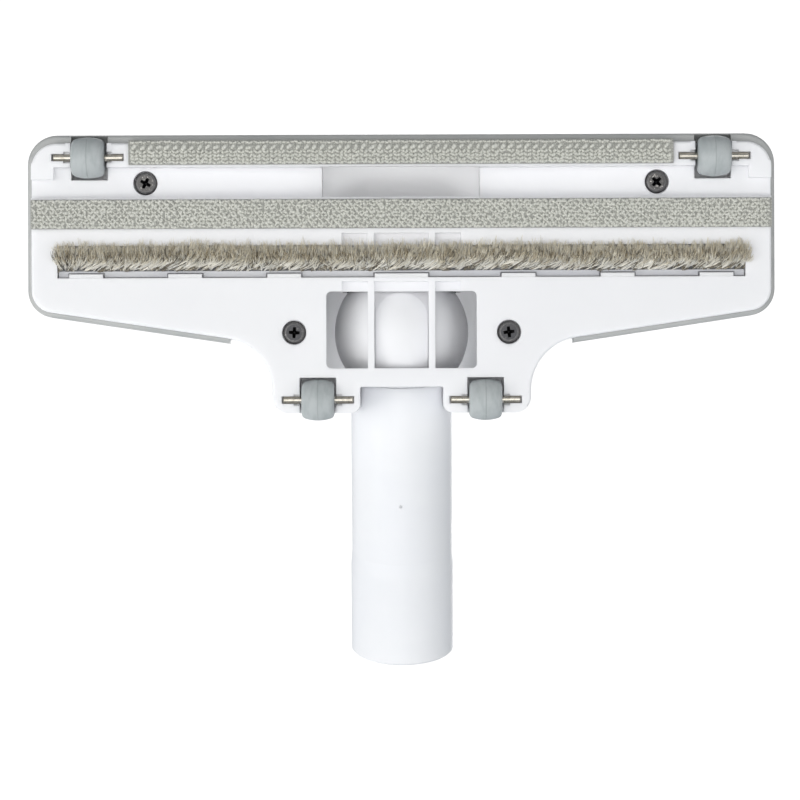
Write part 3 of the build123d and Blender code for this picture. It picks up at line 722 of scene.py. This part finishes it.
@dataclass
class CoverScrews:
    """Four pan-head screws with a cross recess, each turned as it was driven home."""

    node: str = "cover_screws"
    body: str = "head"
    crown: float = 2.7  # radius of the flat of the head, in millimetres
    flat: float = 0.25  # width of the ring round the recess's face
    round_edge: float = 1.1
    edge_steps: int = 6
    height: float = 2.2
    shank: float = 1.75
    length: float = 8.0
    point: float = 1.6
    arm: float = 1.85  # middle of the head to the end of a recess arm
    slot: float = 0.60  # half the width of an arm
    pinch: float = 0.8  # share of that width at the arm's end
    depth: float = 1.8
    taper: float = 0.22
    steps: int = 40
    crease: float = 35.0  # degrees above which an edge stays sharp
    turns: tuple[float, ...] = (28.0, 45.0, 4.0, -7.0)  # front left, front right, rear left, rear right
    # front crowns take the brighter plating with painted glints, rear crowns the plain plating
    crowns: tuple[ScrewFace, ...] = (
        ScrewFace.RUBBED_PAINTED_GLINTS,
        ScrewFace.RUBBED_PAINTED_GLINTS,
        ScrewFace.PLATED,
        ScrewFace.PLATED,
    )

    def build(self) -> None:
        """Makes the four screws as one piece."""
        shape = bmesh.new()
        for (middle, lowest), turn, crown in zip(self.places(), self.turns, self.crowns):
            self.screw(shape, middle, lowest, math.radians(turn), crown)
        bmesh.ops.recalc_face_normals(shape, faces=shape.faces)
        for face in shape.faces:
            face.smooth = True
        piece = mesh_object(self.node + "_driven", shape, [RUBBED_PAINTED_GLINTS, PLATED, RECESS_PAINTED_SHADE, RIM_PAINTED_HIGHLIGHT])
        piece.data.set_sharp_from_angle(angle=math.radians(self.crease))
        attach(piece, self.body)
        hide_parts(self.node)
        LOG.info("%s: %d faces", piece.name, len(piece.data.polygons))

    def places(self) -> list[tuple[Vector, float]]:
        """Finds the four screws of the CAD node.

        Returns:
            The middle and the lowest height of each screw, in metres.
        """
        low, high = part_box(self.node)
        middle = (low + high) / 2
        points = [corner.co for corner in frame["nodes"][self.node].data.vertices]
        found = []
        for front in (True, False):
            for left in (True, False):
                own = [p for p in points if (p.y < middle.y) == front and (p.x < middle.x) == left]
                across = [p.x for p in own]
                along = [p.y for p in own]
                centre = Vector(((min(across) + max(across)) / 2, (min(along) + max(along)) / 2, 0))
                found.append((centre, min(p.z for p in own)))
        return found

    def screw(
        self,
        shape: bmesh.types.BMesh,
        middle: Vector,
        lowest: float,
        turn: float,
        crown: ScrewFace,
    ) -> None:
        """Adds one screw, head down.

        Args:
            shape: Shape that takes the screw.
            middle: Middle of the screw in plan, in metres.
            lowest: Height of the flat of its head.
            turn: Angle of the recess, in radians.
            crown: Finish of the head's flat.
        """
        profile = [(self.crown - self.flat, 0.0)]
        for angle in (math.pi / 2 * k / self.edge_steps for k in range(self.edge_steps + 1)):
            edge = self.crown + self.round_edge * math.sin(angle)
            profile.append((edge, self.round_edge * (1 - math.cos(angle))))
        tail = self.height + self.length
        profile += [(self.crown + self.round_edge, self.height), (self.shank, self.height)]
        profile += [(self.shank, tail - self.point), (0.0, tail)]
        own = turned(profile, self.steps)
        self.recess(own, crown)
        bmesh.ops.rotate(own, cent=(0, 0, 0), matrix=Matrix.Rotation(turn, 3, "Z"), verts=own.verts)
        bmesh.ops.scale(own, vec=(MM, MM, MM), verts=own.verts)
        bmesh.ops.translate(own, vec=(middle.x, middle.y, lowest), verts=own.verts)
        part = bpy.data.meshes.new("screw")
        own.to_mesh(part)
        own.free()
        shape.from_mesh(part)
        bpy.data.meshes.remove(part)

    def recess(self, own: bmesh.types.BMesh, crown: ScrewFace) -> None:
        """Closes the flat of the head round a cross that tapers inwards, darkened with painted shade.

        Args:
            own: Screw that takes the recess.
            crown: Finish of the head's flat.
        """
        ring = [edge for edge in own.edges if edge.is_boundary]
        end = self.pinch * self.slot
        quarter = [(self.arm, -end), (self.arm, end), (self.slot, self.slot)]
        corners = []
        for turn in (Matrix.Rotation(math.pi / 2 * k, 3, "Z") for k in range(4)):
            corners += [own.verts.new(turn @ Vector((x, y, 0))) for x, y in quarter]
        cross = [own.edges.new(pair) for pair in zip(corners, corners[1:] + corners[:1])]
        bmesh.ops.triangle_fill(own, use_beauty=True, edges=ring + cross, normal=(0, 0, -1))
        # the flat of the head takes the crown's finish, the rounded edge and below take the rim's painted
        # highlight
        for face in own.faces:
            on_crown = face.calc_center_median().xy.length < self.crown
            face.material_index = crown if on_crown else ScrewFace.RIM_PAINTED_HIGHLIGHT
        drawn = bmesh.ops.extrude_edge_only(own, edges=cross)["geom"]
        inner = [item for item in drawn if isinstance(item, bmesh.types.BMVert)]
        bmesh.ops.scale(own, vec=(self.taper, self.taper, 1), verts=inner)
        bmesh.ops.translate(own, vec=(0, 0, self.depth), verts=inner)
        floor = [item for item in drawn if isinstance(item, bmesh.types.BMEdge) and item.is_boundary]
        walls = [item for item in drawn if isinstance(item, bmesh.types.BMFace)]
        # walls and floor of the cross take the painted shade
        for face in walls + bmesh.ops.edgeloop_fill(own, edges=floor)["faces"]:
            face.material_index = ScrewFace.RECESS_PAINTED_SHADE


@dataclass
class GateMark:
    """Small round stub that the mould's gate left on the underside of the neck."""

    body: str = "neck"
    radius: float = 0.55  # millimetres, like the sizes below
    face: float = 0.7  # share of the radius that is flat
    proud: float = 0.12
    sunk: float = 0.4
    reach: float = 57.5  # ball centre to the mark, along the neck
    tube: float = 17.6  # radius of the neck
    aside: float = -0.5  # neck's middle to the mark, along X
    steps: int = 20

    def build(self) -> None:
        """Spins the stub and sets it on the neck."""
        joints = frame["record"]["behaviour"]["joints"]
        twist = next(joint for joint in joints if joint["name"] == "neck_twist")
        along = Vector(twist["axis"]).normalized()
        below = Vector((0, along.z, -along.y))
        profile = [(0.0, self.proud), (self.face * self.radius, self.proud), (self.radius, 0.0)]
        profile += [(self.radius, -self.sunk), (0.0, -self.sunk)]
        shape = turned(profile, self.steps)
        bmesh.ops.scale(shape, vec=(MM, MM, MM), verts=shape.verts)
        turn = Vector((0, 0, 1)).rotation_difference(below).to_matrix()
        bmesh.ops.rotate(shape, cent=(0, 0, 0), matrix=turn, verts=shape.verts)
        drop = math.sqrt(self.tube**2 - self.aside**2)
        away = along * self.reach + below * drop + Vector((self.aside, 0, 0))
        bmesh.ops.translate(shape, vec=Vector(twist["pos_m"]) + away * MM, verts=shape.verts)
        bmesh.ops.recalc_face_normals(shape, faces=shape.faces)
        piece = mesh_object("neck_gate_mark", shape, [SHADED_TUBE])
        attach(piece, self.body)
        LOG.info("%s: %d faces", piece.name, len(piece.data.polygons))


# Points of a stitch: shares of its half length, its bow and its height.
STITCH_ARCH = (
    (-1.0, 0.0, -0.7),
    (-0.55, 0.6, 0.05),
    (0.0, 1.0, 0.3),
    (0.55, 0.6, 0.05),
    (1.0, 0.0, -0.7),
)
STITCH_RADII = (0.7, 1.0, 1.1, 1.0, 0.7)


class Edge(Enum):
    """Ways in which the front edge of a strip is finished."""

    TURNED_UP = "turned up"
    FLAT = "flat"


@dataclass(frozen=True)
class StitchRow:
    """One row of stitches across a strip, single or in mirrored pairs."""

    place: float  # share of the strip's width, from its front edge
    lean: float  # degrees from the strip's length
    reach: float  # half the length of a stitch, in millimetres
    thick: float  # share of the yarn's full thickness
    legs: int  # stitches in each column


@dataclass(frozen=True)
class Slack:
    """How far a stitch strays on a strip whose unevenness is 1."""

    along: float = 0.3  # millimetres
    across: float = 0.25  # millimetres
    lean: float = 0.5  # radians
    reach: float = 0.3  # a share, like those below
    bow: float = 0.4
    rise: float = 0.3
    thick: float = 0.3


@dataclass
class LintStrip:
    """Knitted tape: a rounded ground cloth and rows of raised stitches on it."""

    node: str
    edge: Edge
    pitch: float  # width of a column of stitches, in millimetres
    rows: tuple[StitchRow, ...]
    yarn: float  # radius of the yarn
    unevenness: float
    seed: int
    rounds: tuple[float, float]  # width over which the front and the rear edge fall back, in millimetres
    relief: float  # how far the stitches stand out
    fall: float = 0.75  # how far the edges fall back
    tape: float = 2.6  # thickness of the cloth behind an edge that is turned up
    turn_up: float = 0.9  # thickness of that edge
    round_steps: int = 4
    slack: Slack = Slack()
    body: str = "head"

    def build(self) -> None:
        """Makes the ground and the stitches."""
        low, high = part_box(self.node)
        ground = self.ground(low / MM, high / MM)
        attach(ground, self.body)
        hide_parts(self.node)
        stitches = self.stitches(low / MM, high / MM)
        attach(stitches, self.body)
        LOG.info("%s: %d faces of stitches", self.node, len(stitches.data.polygons))

    def lift(self, y: float, low: Vector, high: Vector) -> float:
        """Finds how far the strip falls back towards the plate at a place across it.

        Args:
            y: The place, in millimetres.
            low: Lowest corner of the CAD strip.
            high: Its highest corner.

        Returns:
            The height, in millimetres.
        """
        front = max(0.0, 1 - (y - low.y) / self.rounds[0])
        rear = max(0.0, 1 - (high.y - y) / self.rounds[1])
        return self.fall * (front**2 + rear**2)

    def ground(self, low: Vector, high: Vector) -> bpy.types.Object:
        """Makes the ground cloth by drawing its section along the strip.

        Args:
            low: Lowest corner of the CAD strip, in millimetres.
            high: Its highest corner.

        Returns:
            The ground's object.
        """
        floor = low.z + self.relief
        back = high.z if self.edge is Edge.FLAT else low.z + self.tape
        shares = [k / self.round_steps for k in range(self.round_steps + 1)]
        front = [low.y + self.rounds[0] * share for share in shares]
        rear = [high.y - self.rounds[1] * share for share in reversed(shares)]
        section = [(y, floor + self.lift(y, low, high)) for y in front + rear]
        section.append((high.y, back))
        if self.edge is Edge.TURNED_UP:
            inner = low.y + self.turn_up
            section += [(inner, back), (inner, high.z), (low.y, high.z)]
        else:
            section.append((low.y, back))
        shape = bmesh.new()
        corners = [shape.verts.new(Vector((low.x, y, z)) * MM) for y, z in section]
        end = shape.faces.new(corners)
        drawn = bmesh.ops.extrude_face_region(shape, geom=[end], use_keep_orig=True)
        moved = [item for item in drawn["geom"] if isinstance(item, bmesh.types.BMVert)]
        bmesh.ops.translate(shape, vec=Vector((high.x - low.x, 0, 0)) * MM, verts=moved)
        bmesh.ops.recalc_face_normals(shape, faces=shape.faces)
        return mesh_object(self.node + "_ground", shape, [GROUND])

    def stitches(self, low: Vector, high: Vector) -> bpy.types.Object:
        """Makes the raised stitches, row by row.

        Args:
            low: Lowest corner of the CAD strip, in millimetres.
            high: Its highest corner.

        Returns:
            The stitches' object.
        """
        chance = random.Random(self.seed)
        curve = strand_curve(self.node + "_stitches", self.yarn * MM, 1, [YARN])
        columns = int((high.x - low.x) / self.pitch)
        margin = (high.x - low.x - columns * self.pitch) / 2
        for row in self.rows:
            y = low.y + row.place * (high.y - low.y)
            for column in range(columns):
                for leg in range(row.legs):
                    x = low.x + margin + (column + (leg + 0.5) / row.legs) * self.pitch
                    points = self.stitch(Vector((x, y, low.z + self.relief)), row, (-1) ** leg, chance)
                    for point in points:
                        point.y = min(max(point.y, low.y + self.yarn), high.y - self.yarn)
                        point.z += self.lift(point.y, low, high)
                    thick = row.thick * (1 + chance.gauss(0, self.slack.thick * self.unevenness))
                    radii = [thick * share for share in STITCH_RADII]
                    add_strand(curve, [point * MM for point in points], radii, 0)
        return strands_to_mesh(self.node + "_stitches", curve)

    def stitch(self, middle: Vector, row: StitchRow, side: int, chance: random.Random) -> list[Vector]:
        """Lays one stitch, an arch of yarn that dips into the ground at both ends.

        Args:
            middle: Middle of the stitch on the ground, in millimetres.
            row: Row that the stitch belongs to.
            side: 1, or -1 for the mirrored stitch of a pair.
            chance: Source of chance.

        Returns:
            The points along the stitch.
        """
        loose = self.unevenness
        slack = self.slack
        shift = (chance.gauss(0, slack.along * loose), chance.gauss(0, slack.across * loose), 0)
        middle = middle + Vector(shift)
        lean = side * math.radians(row.lean) + chance.gauss(0, slack.lean * loose)
        reach = row.reach * (1 + chance.gauss(0, slack.reach * loose))
        way = Vector((math.cos(lean), math.sin(lean), 0)) * reach
        bow = Vector((-way.y, way.x, 0)) * chance.gauss(0.0, slack.bow * loose)
        rise = self.relief * (1 + chance.gauss(0, slack.rise * loose))
        return [middle + way * t + bow * s + Vector((0, 0, -rise * h)) for t, s, h in STITCH_ARCH]


HAIR_PLACES = (0.0, 0.3, 0.65, 1.0)  # points of a hair, from root to tip
HAIR_RADII = (1.0, 1.0, 0.8, 0.25)


@dataclass(frozen=True)
class HairLayer:
    """One sort of lock in the brush: where it is rooted and how it lies, in millimetres."""

    name: str
    locks: int
    hairs: int  # hairs in a lock
    roots: tuple[float, float]  # nearest and furthest root, forward of the carrier's rear edge
    run: float  # how far a lock goes forward
    drop: float  # how far it comes down
    drift: float  # how far it goes across
    spread: tuple[float, float, float]  # chance in run, drop and drift
    gather: float  # width of a lock's tip, as a share of its root's
    thickness: float  # radius of a hair
    shades: tuple[int, ...]  # weights of the coats


@dataclass
class HairBrush:
    """Hair of the brush, gathered in locks that lean forward and across."""

    layers: tuple[HairLayer, ...]
    spot: tuple[float, float] = (0.12, 0.084)  # chance in the roots of a lock, along X and Y
    stray: tuple[float, float, float] = (0.35, 0.35, 0.22)  # chance in the tips of a lock
    kinks: tuple[tuple[float, float], ...] = ((0.12, 0.12), (0.18, 0.15))  # chance along a hair, in X and Z
    root_sway: float = 0.12  # shares of the swell in a lock's root, its run and its drift
    run_sway: float = 0.08
    drift_sway: float = 0.7
    sweep: float = 1.7  # how early a hair goes across
    plunge: float = 1.6  # how early it comes down
    mixed: float = 0.45  # share of the hairs that differ from their lock
    sink: float = 0.3  # roots inside the carrier's face
    flare: float = 2.6  # how far the locks splay past the carrier's ends
    end_zone: float = 8.0  # length over which they do
    seed: int = 11
    body: str = "head"

    def build(self) -> None:
        """Makes the layers of hair, from those at the front to those nearest to the eye below."""
        low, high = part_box("brush_carrier")
        for number, layer in enumerate(self.layers):
            piece = self.layer(low / MM, high / MM, layer, number)
            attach(piece, self.body)
            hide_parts("brush_bristles")
            LOG.info("%s: %d faces", piece.name, len(piece.data.polygons))

    def layer(self, low: Vector, high: Vector, layer: HairLayer, number: int) -> bpy.types.Object:
        """Makes one layer of locks.

        Args:
            low: Lowest corner of the carrier, in millimetres.
            high: Its highest corner.
            layer: What the locks are like.
            number: Number of the layer.

        Returns:
            The layer's object.
        """
        name = "brush_hair_" + layer.name
        chance = random.Random(self.seed + number)
        coats = [coat.value for coat in Coat]
        curve = strand_curve(name, layer.thickness * MM, 0, coats)
        for lock in range(layer.locks):
            x = low.x + (high.x - low.x) * (lock + chance.random()) / layer.locks
            swell = self.swell(x, number)
            back = chance.uniform(*layer.roots) + self.root_sway * swell
            root = Vector((x, high.y - back, low.z + self.sink))
            run = layer.run + self.run_sway * swell + chance.gauss(0, layer.spread[0])
            drop = layer.drop + chance.gauss(0, layer.spread[1])
            drift = layer.drift + self.drift_sway * swell + chance.gauss(0, layer.spread[2])
            drift = self.splay(drift, x - low.x, high.x - x, chance)
            tip = root + Vector((drift, -run, -drop))
            shade = chance.choices(range(len(coats)), layer.shades)[0]
            for _ in range(layer.hairs):
                apart = Vector([chance.gauss(0, width) for width in self.spot] + [0.0])
                stray = Vector([chance.gauss(0, width) for width in self.stray])
                other = chance.choices(range(len(coats)), layer.shades)[0]
                own = other if chance.random() < self.mixed else shade
                self.hair(curve, root + apart, tip + apart * layer.gather + stray, own, chance)
        return strands_to_mesh(name, curve)

    def swell(self, x: float, number: int) -> float:
        """Finds how the locks at a place sway together, in a long, a middling and a short wave.

        Args:
            x: The place along the brush, in millimetres.
            number: Number of the layer, which shifts its short wave.

        Returns:
            The sway, from about -2 to 2.
        """
        long = math.sin(x * 0.06)
        middling = 0.7 * math.sin(x * 0.17 + 1.3)
        short = 0.5 * math.sin(x * 0.41 + 2.0 * number)
        return long + middling + short

    def splay(self, drift: float, from_left: float, from_right: float, chance: random.Random) -> float:
        """Turns the locks near the carrier's ends outwards.

        Args:
            drift: How far a lock would go across.
            from_left: Its distance from the left end, in millimetres.
            from_right: Its distance from the right end.
            chance: Source of chance.

        Returns:
            How far it goes across.
        """
        near_left = max(0.0, 1 - from_left / self.end_zone)
        near_right = max(0.0, 1 - from_right / self.end_zone)
        outward = self.flare * chance.uniform(0.2, 1.0)
        return drift * (1 - near_left) * (1 - near_right) + outward * (near_right - near_left)

    def hair(
        self,
        curve: bpy.types.Curve,
        root: Vector,
        tip: Vector,
        shade: int,
        chance: random.Random,
    ) -> None:
        """Adds one hair, which leaves its root steeply and flattens towards its tip.

        Args:
            curve: Curve that takes the hair.
            root: Where the hair starts, in millimetres.
            tip: Where it ends.
            shade: Number of its finish.
            chance: Source of chance.
        """
        way = tip - root
        points = []
        for t in HAIR_PLACES:
            across = way.x * (1 - (1 - t) ** self.sweep)
            down = way.z * (1 - (1 - t) ** self.plunge)
            points.append(root + Vector((across, way.y * t, down)))
        for point, (wide, deep) in zip(points[1:-1], self.kinks):
            point += Vector((chance.gauss(0, wide), 0, chance.gauss(0, deep)))
        add_strand(curve, [point * MM for point in points], list(HAIR_RADII), shade)


# In order: place, lean, reach, thick, legs.
FRONT_ROWS = (
    StitchRow(0.10, 12.0, 0.85, 0.75, 2),
    StitchRow(0.29, -44.0, 1.25, 1.25, 1),
    StitchRow(0.48, 40.0, 0.85, 0.9, 2),
    StitchRow(0.63, 32.0, 0.85, 1.0, 2),
    StitchRow(0.78, 40.0, 0.85, 0.9, 2),
    StitchRow(0.91, 20.0, 0.85, 0.9, 2),
)
REAR_ROWS = tuple(StitchRow(0.07 + 0.86 * k / 7, 42.0 * (-1) ** k, 0.8, 1.0, 2) for k in range(8))
STRIPS = (
    LintStrip(
        node="front_lint_strip",
        edge=Edge.TURNED_UP,
        pitch=2.75,
        rows=FRONT_ROWS,
        yarn=0.50,
        unevenness=0.35,
        seed=3,
        rounds=(2.6, 1.2),
        relief=0.8,
    ),
    LintStrip(
        node="rear_lint_strip",
        edge=Edge.FLAT,
        pitch=2.15,
        rows=REAR_ROWS,
        yarn=0.44,
        unevenness=0.6,
        seed=5,
        rounds=(1.3, 1.3),
        relief=0.6,
    ),
)
# In order: name, locks, hairs, roots, run, drop, drift, spread, gather, thickness, shades.
HAIR_LAYERS = (
    HairLayer("fringe", 1300, 4, (4.6, 6.8), 4.6, 4.2, 0.4, (0.9, 0.4, 1.0), 1.8, 0.075, (7, 1, 0, 5, 0)),
    HairLayer("brow", 1480, 4, (7.0, 9.6), 1.4, 3.0, 0.3, (0.6, 0.4, 0.7), 1.3, 0.080, (8, 0, 0, 3, 0)),
    HairLayer("crown", 1500, 4, (3.4, 5.2), 3.7, 4.3, 0.8, (1.0, 0.45, 1.3), 1.2, 0.120, (5, 3, 3, 1, 3)),
    HairLayer("lay", 700, 4, (2.0, 3.6), 4.1, 3.6, 4.6, (0.9, 0.5, 1.9), 0.9, 0.125, (8, 1, 0, 5, 2)),
    # under: mostly dark hairs low in the brush, painted shade in the gaps between the brighter locks
    HairLayer("under", 600, 5, (1.8, 6.5), 1.2, 1.6, 1.0, (0.5, 0.3, 0.6), 1.0, 0.120, (0, 0, 2, 0, 5)),
)


@dataclass(frozen=True)
class Softbox:
    """One soft light that faces the part."""

    name: str
    place: tuple[float, float, float]  # metres
    size: float  # length of its sides, in metres
    power: float  # watts
    colour: Colour = (1.0, 0.985, 0.965)

    def hang(self) -> None:
        """Adds the light to the scene."""
        lamp = bpy.data.lights.new(self.name, "AREA")
        lamp.shape = "SQUARE"
        lamp.size = self.size
        lamp.energy = self.power
        lamp.color = self.colour
        holder = bpy.data.objects.new(self.name, lamp)
        holder.location = self.place
        holder.rotation_euler = (-Vector(self.place)).to_track_quat("-Z", "Y").to_euler()
        bpy.context.scene.collection.objects.link(holder)


@dataclass
class Studio:
    """Floor, light and camera, in metres."""

    lamps: tuple[Softbox, ...] = (
        Softbox("key", (-1.4, 0.25, -0.9), 0.9, 8.5),
        Softbox("fill", (1.25, 0.3, -0.9), 0.9, 5.0),
        Softbox("front", (-0.4, 0.1, -1.7), 1.8, 15.2),
        Softbox("overhead", (0.3, -0.5, 1.5), 1.4, 18.0),
        Softbox("back_top", (-0.9, 1.0, 1.0), 1.0, 7.5),
    )
    scale: float = 0.336  # millimetres of the sole to a pixel of the picture
    distance: float = 0.90  # camera to sole
    face: float = 0.0046  # height of the sole
    aim: tuple[float, float] = (-0.00062, -0.00167)
    roll: float = 0.2  # degrees by which the part's right side is higher in the picture
    sensor: float = 36.0  # millimetres
    sky_colour: Colour = (0.91, 0.965, 1.03)
    sky_level: float = 0.38
    sky_lean: tuple[float, float, float] = (-0.15, 0.5, 0.0)  # way to the brighter side, and how much so
    backdrop: float = 1.1  # brightness where the camera looks past the part
    floor_size: float = 2.5
    floor_gap: float = 0.0004  # between the rollers and the floor

    def build(self) -> None:
        """Makes the floor, the lights and the camera."""
        self.floor()
        self.sky()
        for lamp in self.lamps:
            lamp.hang()
        self.camera()

    def floor(self) -> None:
        """Lays the floor under the rollers."""
        shape = bmesh.new()
        bmesh.ops.create_grid(shape, x_segments=2, y_segments=2, size=self.floor_size)
        bmesh.ops.translate(shape, vec=(0, 0, -self.floor_gap), verts=shape.verts)
        plane = mesh_object("studio_floor", shape, [FLOOR])
        plane.visible_diffuse = False
        plane.visible_glossy = False
        plane.visible_shadow = False

    def sky(self) -> None:
        """Surrounds the part with soft light, white where the camera looks past it."""
        graph = Graph(bpy.data.worlds.new("studio"), "Background")
        way = graph.node("ShaderNodeTexCoord", {}, {}, "Generated")
        dot = {"operation": "DOT_PRODUCT"}
        side = graph.node("ShaderNodeVectorMath", dot, {0: way, 1: self.sky_lean}, "Value")
        world = graph.close({"Color": self.sky_colour, "Strength": self.sky_level * (1.0 + side)})
        shine = Wire(graph, graph.shader.outputs[0])
        paper = {"Color": (1.0, 1.0, 1.0), "Strength": self.backdrop}
        white = graph.node("ShaderNodeBackground", {}, paper)
        seen = graph.node("ShaderNodeLightPath", {}, {}, "Is Camera Ray")
        mixed = graph.node("ShaderNodeMixShader", {}, {0: seen, 1: shine, 2: white})
        graph.feed(graph.tree.nodes["World Output"].inputs["Surface"], mixed)
        bpy.context.scene.world = world
        bpy.context.scene.view_settings.view_transform = "Standard"

    def camera(self) -> None:
        """Sets the camera square below the sole, with the front of the head at the top of the picture."""
        eye = bpy.data.cameras.new("camera")
        eye.sensor_width = self.sensor
        eye.lens = self.sensor * self.distance / (PICTURE * self.scale * MM)
        eye.clip_start = 0.01
        holder = bpy.data.objects.new("camera", eye)
        holder.location = (*self.aim, self.face - self.distance)
        turn = Matrix.Rotation(math.pi, 3, "X") @ Matrix.Rotation(-math.radians(self.roll), 3, "Z")
        holder.rotation_euler = turn.to_euler()
        bpy.context.scene.collection.objects.link(holder)
        bpy.context.scene.camera = holder


def main() -> None:
    """Builds every piece in order."""
    logging.basicConfig(level=logging.INFO, format="%(name)s: %(message)s")
    Mouldings().dress()
    CoverScrews().build()
    GateMark().build()
    for strip in STRIPS:
        strip.build()
    HairBrush(HAIR_LAYERS).build()
    Studio().build()


if __name__ == "__main__":
    main()
